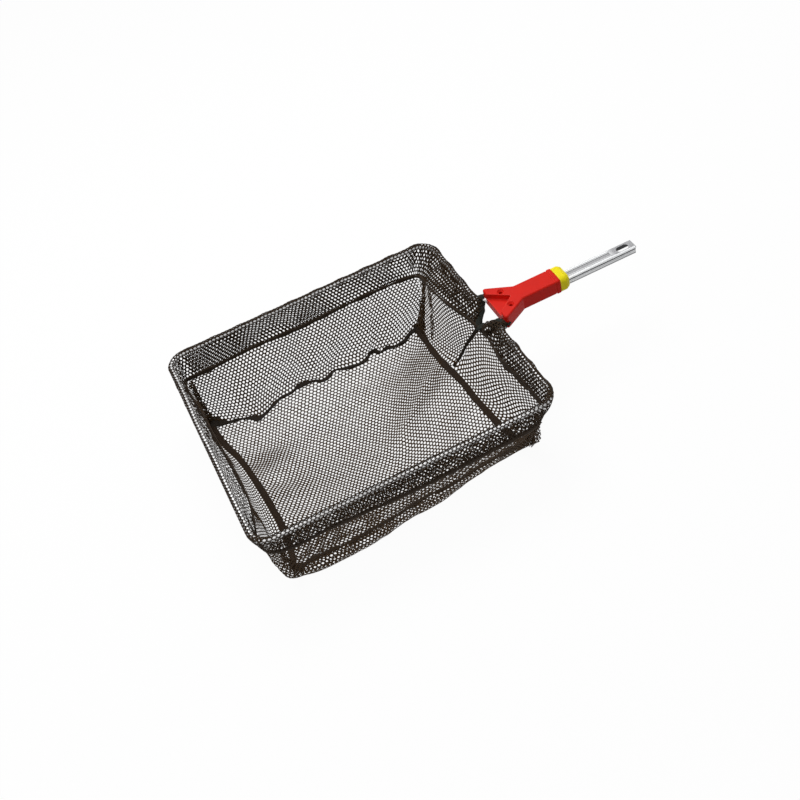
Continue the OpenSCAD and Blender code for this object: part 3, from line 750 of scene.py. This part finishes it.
# Round the rod it is pulled together on one side and stretched on the other. At places along it: where
# across it the holes are shut, how far that reaches, by what share, and where they are stretched
HEM_CROWN = np.array([
    (125, 41.8, 2.4, 0.9, 35), (165, 37, 1.4, 0.5, 31.3), (495, 37, 1.4, 0.5, 31.3), (530, 42.3, 2.2, 0.46, 35.5),
    (828, 42.3, 2.2, 0.46, 35.5), (862, 31, 1.2, 0.55, 38), (1194, 31, 1.2, 0.55, 38), (1230, 41.8, 2.4, 0.9, 35)])


def hem_cloth():
    """One strip of mesh folded over the rod: up its inside, round the rod and down its outside."""
    puff_in, puff_out, loose = waves(31, 6, 34, 1.1), waves(32, 6, 38, 1.0), waves(33, 5, 44, 0.9)

    def place(u, v):
        s = HEM_FROM + np.clip(u, 0, HEM_LONG)
        rod, stitch = rod_at(s), stitch_line(s)
        reach = rod - stitch
        far = np.linalg.norm(reach, axis=1)
        rise = reach / far[:, None]
        out = rod_out(s)
        out = unit(out - (out * rise).sum(1, keepdims=True) * rise)
        crown = HEM_R + np.maximum(loose(u, 0 * u), 0)
        tilt = np.arcsin(crown / far)
        flat = far * np.cos(tilt)
        turn = crown * (np.pi + 2 * tilt)
        q = np.clip(v / HEM_WIDE, 0, 1) * (2 * flat + turn)
        left = 2 * flat + turn - q
        inner, outer = q < flat, q > flat + turn

        def part(inside, outside, round_rod):
            return np.where(inner, inside, np.where(outer, outside, round_rod))
        theta = -np.pi / 2 - tilt + np.clip((q - flat) / crown, 0, np.pi + 2 * tilt)
        along = part(q * np.cos(tilt), left * np.cos(tilt), far + crown * np.cos(theta))
        away = part(-q * np.sin(tilt), left * np.sin(tilt), crown * np.sin(theta))
        free = np.clip(part(q, left, flat) / flat, 0, 1)
        gap, puff = 0.75 * (1 - free), np.sin(np.pi * free)
        shift = part(-gap - puff * np.abs(puff_in(u, q)), gap + puff * np.abs(puff_out(u, q)), 0)
        return stitch + rise * along[:, None] + out * (away + shift)[:, None]

    def open_by(u, v):
        gathered = np.interp(u, *zip(*HEM_OPEN))
        shut, reach, tight, bare = (np.interp(u, HEM_CROWN[:, 0], column) for column in HEM_CROWN.T[1:])
        pulled = np.clip(2.4 - np.abs(v - shut) / reach, 0, 1)
        return gathered * (1 - tight * pulled + 0.14 * np.exp(-((v - bare) / 2.2) ** 2))
    cloth("hem_cloth", (HEM_LONG, HEM_WIDE), place, HEM, "hem_casing", "folded", ["rim_rod"],
          [stitched, *bindings], (HEM_WIDE, HEM_LONG), seed=30, hole_size=open_by, pitch=HEM_PITCH)


def wall_cloth(name, seed, along_rod, mid, low, foot, fold, lean=0.45, **mesh):
    """One wall of the bag, from its stitched edge at the hem down to the floor's edge."""
    place, width, height = hung([stitch_line(np.linspace(*along_rod, 40)), mid, low, foot], seed, fold, lean)
    cloth(name + "_cloth", (width, height), place, NET, name, "hung", ["hem_cloth"], flat=(height, width),
          seed=seed, **mesh)


# The gathered cloth at the corners: its line from the hem to the ground, the way across it, the width of
# one of its layers from top to foot, and how many layers it has. The layers lie a gap apart
LAYER_GAP = 1.5
PLEATS = {
    "far_handle": ([(179, 143, 77), (170, 145, 42), (153, 133, 3.4)], (-0.1, 1.0), [4, 5, 8, 15, 22], 3),
    "beside_far_handle": ([(175, 124, 78), (170, 118, 42), (157, 103, 5)], (0.25, 0.97), [4, 4, 4.5, 5, 5], 3),
    "far_toe": ([(-158.5, 150.5, 77), (-158, 150, 40), (-156, 144.5, 3.4)], (0.75, 0.66), [8, 8, 8, 9, 11], 2),
    "near_toe": ([(-152, -165, 77), (-146, -160, 42), (-140, -148, 3.2)], (1.0, 0.05), [4, 5, 6, 9, 14], 2),
    "near_handle": ([(182.5, -157, 77), (183, -142, 40), (180, -131.5, 3)], (0.8, 0.6), [5, 5, 6, 8, 10], 3),
    "beside_near_handle": ([(179, -163, 76), (175, -147, 42), (167, -127.5, 3.4)], (1.0, 0.1),
                           [6, 8, 10, 14, 18], 3),
}


def pleat(name, spine, across, wide, layers, seed):
    """The strip's cloth folded on itself in layers, from the stitched edge down to the ground."""
    spine = line(spine)
    height, flat = length_of(spine), layers * max(wide)
    across = unit(np.array([*across, 0.0]))
    away = square(across)
    wobble = waves(seed, 4, 22, 0.8)

    def place(u, v):
        t = np.clip(v / height, 0, 1)
        q = np.clip(u / flat, 0, 1) * layers
        span = np.interp(t, np.linspace(0, 1, len(wide)), wide)
        p = (spine(t) + across * (-0.5 * np.cos(np.pi * q) * span + wobble(v, 0 * v))[:, None]
             + away * ((q - layers / 2) * LAYER_GAP + wobble(v + 40, u))[:, None])
        p[:, 2] = np.maximum(p[:, 2], FLOOR_Z)
        return p
    cloth("pleat_" + name, (flat, height), place, NET, "corner_fold_" + name.removeprefix("beside_"), "folded",
          ["hem_cloth"], seed=seed, hole_size=0.54)


# Low folds in the floor: from, to, height and half width
FLOOR_FOLDS = [
    ((-141, 58), (-84, 36), 1.8, 6.0), ((-137, -6), (-92, -40), 1.6, 6.0), ((-132, -54), (-108, -76), 1.6, 5.0),
    ((148, 62), (108, 34), 2.6, 6.0), ((108, 30), (58, -14), 2.6, 5.0), ((58, -14), (24, -70), 2.4, 5.0),
    ((120, 70), (64, 26), 1.4, 6.0), ((146, 96), (112, 84), 1.2, 6.0), ((-60, 96), (-20, 110), 1.0, 8.0),
]
# The floor's mesh is dragged out of square where the tapes gather it. How far it has slid, in millimetres,
# along x and along y: a row for every step of flat x from its first place, a value for every step of flat y
SLIDE_FROM = (-180, -220)
SLIDE_X_STEP, SLIDE_X = 60, [
    [17, 15, 13, 10, 3, -4, -11],
    [17, 14, 10, 8, 4, -5, -10],
    [17, 12, 7, 3, -1, -5, -11],
    [18, 12, 5, 2, -1, -3, -4],
    [21, 13, 7, 0, -1, -2, 3],
    [22, 14, 5, -3, -3, -1, 5],
    [24, 14, 5, -1, 0, 3, 9]]
SLIDE_Y_STEP, SLIDE_Y = 20, [
    [48, 48, 47, 47, 46, 44, 43, 40, 37, 32, 27, 21, 16, 11, 7, 5, 4, 5, 6, 7],
    [44, 43, 43, 42, 41, 39, 38, 37, 34, 29, 25, 19, 12, 6, 2, 0, 0, 1, 3, 5],
    [40, 39, 38, 37, 36, 34, 32, 31, 29, 25, 21, 17, 10, 2, -3, -5, -4, -1, 1, 4],
    [36, 35, 34, 32, 30, 28, 25, 23, 22, 18, 13, 13, 8, 0, -6, -7, -6, -4, 1, 4],
    [32, 31, 30, 28, 26, 23, 19, 15, 14, 12, 7, 5, 4, -1, -7, -8, -6, -3, 2, 5],
    [30, 28, 27, 25, 22, 19, 14, 10, 7, 5, 2, -1, -3, -5, -7, -6, -4, 1, 4, 7],
    [27, 26, 24, 22, 20, 17, 13, 8, 5, 2, 0, -3, -6, -7, -6, -4, -1, 3, 6, 9],
    [26, 25, 23, 21, 18, 16, 12, 8, 4, 1, -1, -3, -4, -4, -3, -1, 3, 7, 10, 11],
    [25, 24, 22, 20, 18, 15, 12, 8, 5, 2, 0, -2, -2, -2, -1, 2, 6, 10, 13, 14],
    [26, 24, 23, 21, 18, 15, 12, 9, 6, 3, 1, 0, -1, 0, 1, 4, 8, 12, 14, 15],
    [27, 26, 24, 22, 19, 16, 13, 9, 6, 4, 3, 2, 2, 2, 3, 6, 10, 13, 14, 15],
    [30, 29, 27, 25, 23, 20, 17, 14, 11, 11, 8, 6, 5, 4, 5, 6, 11, 14, 15, 15],
    [34, 33, 32, 30, 29, 27, 25, 23, 21, 20, 17, 13, 10, 8, 6, 7, 11, 14, 15, 15],
    [39, 38, 38, 37, 37, 36, 34, 33, 32, 31, 27, 22, 17, 13, 9, 8, 11, 14, 15, 16],
    [45, 45, 45, 45, 45, 46, 44, 43, 44, 43, 37, 31, 26, 20, 14, 10, 11, 15, 15, 17],
    [51, 52, 52, 53, 53, 54, 55, 54, 55, 54, 48, 43, 36, 29, 21, 15, 13, 16, 18, 19],
    [59, 60, 60, 61, 61, 62, 65, 66, 67, 67, 61, 53, 45, 37, 29, 23, 21, 22, 23, 24],
    [67, 68, 69, 70, 72, 72, 74, 77, 78, 75, 68, 61, 53, 45, 39, 34, 31, 30, 30, 30],
    [75, 77, 79, 80, 82, 83, 85, 86, 85, 80, 74, 67, 60, 54, 48, 44, 41, 39, 38, 37]]
# The blank that the floor is cut from: its size and first corner, and the flat size of the cut floor
FLOOR_BLANK, FLOOR_FROM, FLOOR_FLAT = (372.0, 396.0), (-186.0, -232.0), (306, 334)


def floor_cloth():
    """The floor's mesh, cut to the two tapes and the two long seams, lying in low folds."""
    def edge(points, axis, way):
        """Where an edge lies, read at places along an axis, in the way that its points run."""
        points = np.array(points)
        return Track(way * points[:, axis], points[:, 1 - axis, None])
    toe, handle = edge(TOE_TAPE, 1, -1), edge(HANDLE_TAPE, 1, 1)
    near, far = edge(NEAR_SEAM, 0, 1), edge(FAR_SEAM, 0, -1)

    def clamp(x, y):
        y = np.clip(y, near(x)[:, 0], far(-x)[:, 0])
        return np.clip(x, toe(-y)[:, 0], handle(y)[:, 0]), y

    def inside(x, y):
        px, py = clamp(x, y)
        return (np.abs(px - x) < 1e-6) & (np.abs(py - y) < 1e-6)
    low, rolls = waves(51, 5, 60, 0.4), waves(52, 5, 26, 0.25)
    slide_x = surface(SLIDE_X, SLIDE_FROM, (SLIDE_X_STEP, SLIDE_X_STEP))
    slide_y = surface(SLIDE_Y, SLIDE_FROM, (SLIDE_Y_STEP, SLIDE_Y_STEP))

    def slide(u, v):
        return u + slide_x(u, v), v + slide_y(u, v)

    def fold(x, y, start, end, half):
        """1 on the crest of a fold from start to end, wandering a little, and 0 away from it."""
        (ax, ay), (bx, by) = start, end
        reach = math.hypot(bx - ax, by - ay)
        wx, wy = (bx - ax) / reach, (by - ay) / reach
        along = ((x - ax) * wx + (y - ay) * wy) / reach
        off = (y - ay) * wx - (x - ax) * wy + 1.5 * np.sin(along * 5 + ax)
        return np.exp(-(off / half) ** 2) * np.clip(1.2 - np.maximum(along - 0.75, -along) * 4, 0, 1)

    def place(x, y):
        z = FLOOR_Z + 0.5 + low(x, y) + rolls(x, y)
        for start, end, high, half in FLOOR_FOLDS:
            z = z + high * fold(x, y, start, end, half)
        return np.stack([x, y, np.maximum(z, STRAND_H + 0.15)], 1)
    cloth("floor_cloth", FLOOR_BLANK, place, NET, "floor_net", "laid", ["toe_tape", "handle_tape"],
          [toe_tape, handle_tape, far_seam, near_seam], FLOOR_FLAT, seed=50, inside=inside, clamp=clamp,
          origin=FLOOR_FROM, slide=slide, pitch=FLOOR_PITCH)


def tape(name, points, replaced, width, seed):
    """A woven tape laid on the floor, with a row of stitches along each edge."""
    path = even(line(level(points, FLOOR_Z + 1.4)), 2.0)
    band = loft(name, band_rings(path, width, TAPE_T, seed=seed), TAPE)
    side = frames(path)[0]
    rows = [path + side * edge * width * STITCH_ROW + np.array([0, 0, TAPE_T * STITCH_UP]) for edge in (-1, 1)]
    starts, ends = (np.concatenate([row[:-1:2] + share * (row[1::2] - row[:-1:2]) for row in rows])
                    for share in STITCH_ENDS)
    sewn = threads(name + "_stitches", starts, ends, STITCH_R, SEAM)
    return on_frame(join([band, sewn], name), replaced)


def seam(name, points, replaced, wide, thick, mat, seed, up=UP, lumps=0.22):
    """A lumpy gathered seam along points; wide gives its width at places along x, and thick its height at
    shares of its length."""
    path = even(line(points), 1.6)
    wide = np.interp(path[:, 0], *zip(*wide))
    thick = np.interp(np.linspace(0, 1, len(path)), *zip(*thick))
    obj = loft(name, band_rings(path, wide, thick, up=up, seed=seed, lumps=lumps, corners=2.3), mat)
    return on_frame(obj, replaced)


toe_tape = tape("toe_tape", TOE_TAPE, "floor_tape_toe", TOE_TAPE_W, seed=71)
handle_tape = tape("handle_tape", HANDLE_TAPE, "floor_tape_handle", HANDLE_TAPE_W, seed=72)
# Widths of the seams in millimetres at places along x, and their heights at shares of their length
FAR_SEAM_WIDE = [
    (-157, 14), (-148, 12), (-142, 9), (-134, 4.6), (-118, 4), (-106, 8), (-100, 10), (-94, 7.5), (-84, 4.6),
    (-64, 5.6), (-50, 5.4), (-40, 7.5), (-31, 10.5), (-25, 7.5), (-16, 4.6), (-6, 4.6), (16, 5), (30, 4.6),
    (46, 5.2), (58, 4.6), (70, 4.6), (84, 6), (92, 5), (108, 5), (124, 5.6), (140, 6.5), (152, 9)]
NEAR_SEAM_WIDE = [(-144, 8), (-120, 6), (-90, 4.6), (-20, 4), (60, 4), (110, 4.6), (150, 7), (171, 10)]
CLOSING_WIDE = [(159, 4.2), (170, 3.8), (180, 4.4), (191, 5.6)]
HEM_SEAM_WIDE = [(0, 2.4)]
FAR_SEAM_THICK, NEAR_SEAM_THICK, CLOSING_THICK = [(0, 3.0)], [(0, 2.4)], [(0, 2.4)]
HEM_SEAM_THICK = [
    (0, 6), (0.12, 5.4), (0.27, 5.6), (0.33, 6.6), (0.38, 9), (0.41, 7.5), (0.46, 5.6), (0.6, 5.4), (0.82, 6),
    (0.88, 12), (0.97, 12), (1, 9)]
far_seam = seam("far_seam", level(FAR_SEAM, 2.4), "floor_seam_far", FAR_SEAM_WIDE, FAR_SEAM_THICK, SEAM,
                73)
near_seam = seam("near_seam", level(NEAR_SEAM, 2.2), "floor_seam_near", NEAR_SEAM_WIDE, NEAR_SEAM_THICK, SEAM,
                 74)
seam("closing_tape", CLOSING, "closing_seam", CLOSING_WIDE, CLOSING_THICK, SEAM, 75,
     up=(0.9, 0.1, 0.4), lumps=0.07)
stitched = seam("hem_stitching", stitch_line(np.linspace(0, ROD_LENGTH, 400)), "hem_seam", HEM_SEAM_WIDE,
                HEM_SEAM_THICK, STITCHED, 76, lumps=0.14)

# The tapes folded over the hem's cut edges, from the rod at the socket down to the notch: line, widths
# along it, thickness, lumps and seed
NOTCH_TAPES = {
    "far": ([(211.5, 36, 108), (210, 30, ROD_Z + 2.8), (207, 25, 106), (203, 20, 99), (197, 15, 91), NOTCH],
            [6.0, 9.0, 10.0, 9.5, 8.0, 5.0], 3.6, 0.16, 81),
    "near": ([(217, -33, 109), (213, -27, 110), (209, -19.5, 107), (205, -12, 101), (199, -1, 92), NOTCH],
             [8.0, 10.0, 10.0, 9.0, 8.0, 7.0], 4.6, 0.3, 79),
}
GATHERED_LINE = [(213.5, -34, 106.5), (211, -29, 108), (206.5, -21.5, 105), (201, -11, 98), (196, 1, 89)]
GATHERED_FLAT = 48.0


def notch_binding(name, points, wide, thick, lumps, seed):
    path = even(line(points), 1.2)
    wide = np.interp(np.linspace(0, 1, len(path)), np.linspace(0, 1, len(wide)), wide)
    obj = loft("notch_tape_" + name, band_rings(path, wide, thick, seed=seed, lumps=lumps, corners=2.4), BINDING)
    return on_frame(obj, "notch_binding_" + name)


def gathered_end():
    """The hem's cut end on the near side, bunched round its binding from the rod down to the notch."""
    spine, wobble = line(GATHERED_LINE), waves(131, 6, 11, 0.8)
    height = length_of(spine)

    def place(u, v):
        t, turn = np.clip(v / height, 0, 1), 2 * np.pi * u / GATHERED_FLAT
        way = unit(spine(np.minimum(t + 0.02, 1)) - spine(np.maximum(t - 0.02, 0)))
        side = unit(np.cross(way, np.array(UP)))
        reach = (4.4 + 2.6 * np.sin(np.pi * t) + wobble(u, v))[:, None]
        return spine(t) + reach * (1.2 * np.cos(turn)[:, None] * side
                                   + 0.85 * np.sin(turn)[:, None] * np.cross(side, way))
    cloth("gathered_end", (GATHERED_FLAT, height), place, HEM, "notch_binding_near", "folded", ["hem_cloth"],
          seed=130, hole_size=0.5)


bindings = [notch_binding(name, *how) for name, how in NOTCH_TAPES.items()]
gathered_end()
hem_cloth()
floor_cloth()
for k, (name, wall) in enumerate(WALLS.items()):
    wall_cloth(name, 60 + 5 * k, **wall)
for k, (name, how) in enumerate(PLEATS.items()):
    pleat(name, *how, 90 + 3 * k)


# ---------------- metal and plastic

DIMPLE_X, DIMPLE_Y, DIMPLE_R, DIMPLE_DEEP = 230, 13.46, 4.4, 2.2
LIP_X, LIP_GROOVE, LIP_GROOVE_W = 293.6, 0.7, 0.7


def moulded(node_name, name, mat, grain, rounds, shape=None):
    """A moulding after its solid: every edge and corner rounded, and shape's small hollows pressed in."""
    piece = placed(name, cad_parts[node_name].data.copy())
    fine = piece.modifiers.new("grain", "REMESH")
    fine.mode, fine.voxel_size = "VOXEL", grain * MM
    soft = piece.modifiers.new("round", "SMOOTH")
    soft.factor, soft.iterations = 0.5, rounds
    mesh = bpy.data.meshes.new_from_object(piece.evaluated_get(bpy.context.evaluated_depsgraph_get()))
    piece.modifiers.clear()
    piece.data = mesh
    if shape:
        points = np.empty(len(mesh.vertices) * 3)
        mesh.vertices.foreach_get("co", points)
        mesh.vertices.foreach_set("co", (shape(points.reshape(-1, 3) / MM) * MM).ravel())
    smooth(mesh, mat)
    return on_frame(piece, node_name)


def socket_shape(p):
    """The bowls over the two rod ends, and the groove before the lip."""
    middle = (socket_low[2] + socket_high[2]) / 2
    top = p[:, 2] > middle
    for side in (-1, 1):
        off = np.hypot(p[:, 0] - DIMPLE_X, p[:, 1] - side * DIMPLE_Y) / DIMPLE_R
        p[:, 2] -= np.where(top & (off < 1), DIMPLE_DEEP * (1 - off ** 6), 0)
    pull = LIP_GROOVE * np.exp(-((p[:, 0] - LIP_X) / LIP_GROOVE_W) ** 2)[:, None]
    return p - pull * unit(np.stack([0 * p[:, 0], p[:, 1], p[:, 2] - middle], 1))


moulded("socket", "socket_moulding", RED, 0.5, 6, socket_shape)
moulded("collar", "collar_moulding", YELLOW, 0.4, 10)
for node_name, mat in (("rim_rod", ROD), ("tang", TANG)):
    coat(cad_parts[node_name].data, mat)


# ---------------- camera, light and floor

# In degrees: how far the camera looks down, turns from +Y, rolls, and sees from side to side
LOOK_DOWN, HEADING, ROLL, VIEW = 46.253, 13.362, 15.804, 38.386
CAMERA_AT = (-0.165134, -0.974588, 1.082633)
LAMPS_AT, LAMPS = (0.05, 0, 0.05), (("key", (0.1, 0.65, 1.65), 1.2, 19), ("fill", (-0.9, -0.2, 1.5), 1.5, 4))
STUDIO_HALF, STUDIO_Z, STUDIO_LIGHT, WHITE = 6.0, -0.0002, 0.32, (1, 1, 1, 1)


def add_camera():
    tilt, head, roll, view = map(math.radians, (LOOK_DOWN, HEADING, ROLL, VIEW))
    ahead = Vector((math.sin(head) * math.cos(tilt), math.cos(head) * math.cos(tilt), -math.sin(tilt)))
    right = ahead.cross(Vector(UP)).normalized()
    up = math.cos(roll) * right.cross(ahead) + math.sin(roll) * right
    across = ahead.cross(up).normalized()
    data = bpy.data.cameras.new("camera")
    data.sensor_fit, data.angle = "HORIZONTAL", view
    data.clip_start, data.clip_end = 0.05, 60
    camera = placed("camera", data)
    camera.matrix_world = Matrix.Translation(CAMERA_AT) @ Matrix((across, up, -ahead)).transposed().to_4x4()
    bpy.context.scene.camera = camera


def add_lamp(name, where, size, power):
    data = bpy.data.lights.new(name, "AREA")
    data.shape, data.size, data.energy = "DISK", size, power
    lamp = placed(name, data)
    lamp.location = where
    lamp.rotation_euler = (Vector(LAMPS_AT) - Vector(where)).to_track_quat("-Z", "Y").to_euler()


def seen_white(tree, plain, white, output):
    """The camera, gloss and glass see the white shader, and all other light meets the plain one."""
    path = node(tree, "LightPath").outputs
    seen = maths(tree, "MAXIMUM", maths(tree, "MAXIMUM", path["Is Camera Ray"], path["Is Glossy Ray"]),
                 path["Is Transmission Ray"])
    mix = node(tree, "MixShader", seen, plain, white)
    tree.links.new(mix.outputs[0], tree.nodes[output].inputs["Surface"])


def add_floor():
    r, z = STUDIO_HALF, STUDIO_Z
    mesh = bpy.data.meshes.new("studio_floor")
    mesh.from_pydata([(-r, -r, z), (r, -r, z), (r, r, z), (-r, r, z)], [], [(0, 1, 2, 3)])
    m, tree, surface = material("studio_floor", Base_Color=(0.5, 0.5, 0.5, 1), Roughness=0.9,
                                Specular_IOR_Level=0.0)
    glow = node(tree, "Emission", Strength=1.0)
    chalk = node(tree, "BsdfDiffuse", Color=WHITE)
    shown = node(tree, "MixShader", 0.95, chalk.outputs[0], glow.outputs[0])
    seen_white(tree, surface.outputs[0], shown.outputs[0], "Material Output")
    mesh.materials.append(m)
    placed("studio_floor", mesh)


def add_world():
    world = bpy.data.worlds.new("studio")
    world.use_nodes = True
    bpy.context.scene.world = world
    tree = world.node_tree
    soft = tree.nodes["Background"]
    soft.inputs["Color"].default_value, soft.inputs["Strength"].default_value = WHITE, STUDIO_LIGHT
    white = node(tree, "Background", Color=WHITE, Strength=1.0)
    seen_white(tree, soft.outputs[0], white.outputs[0], "World Output")


bpy.context.scene.view_settings.view_transform = "Standard"
add_camera()
for lamp in LAMPS:
    add_lamp(*lamp)
add_floor()
add_world()
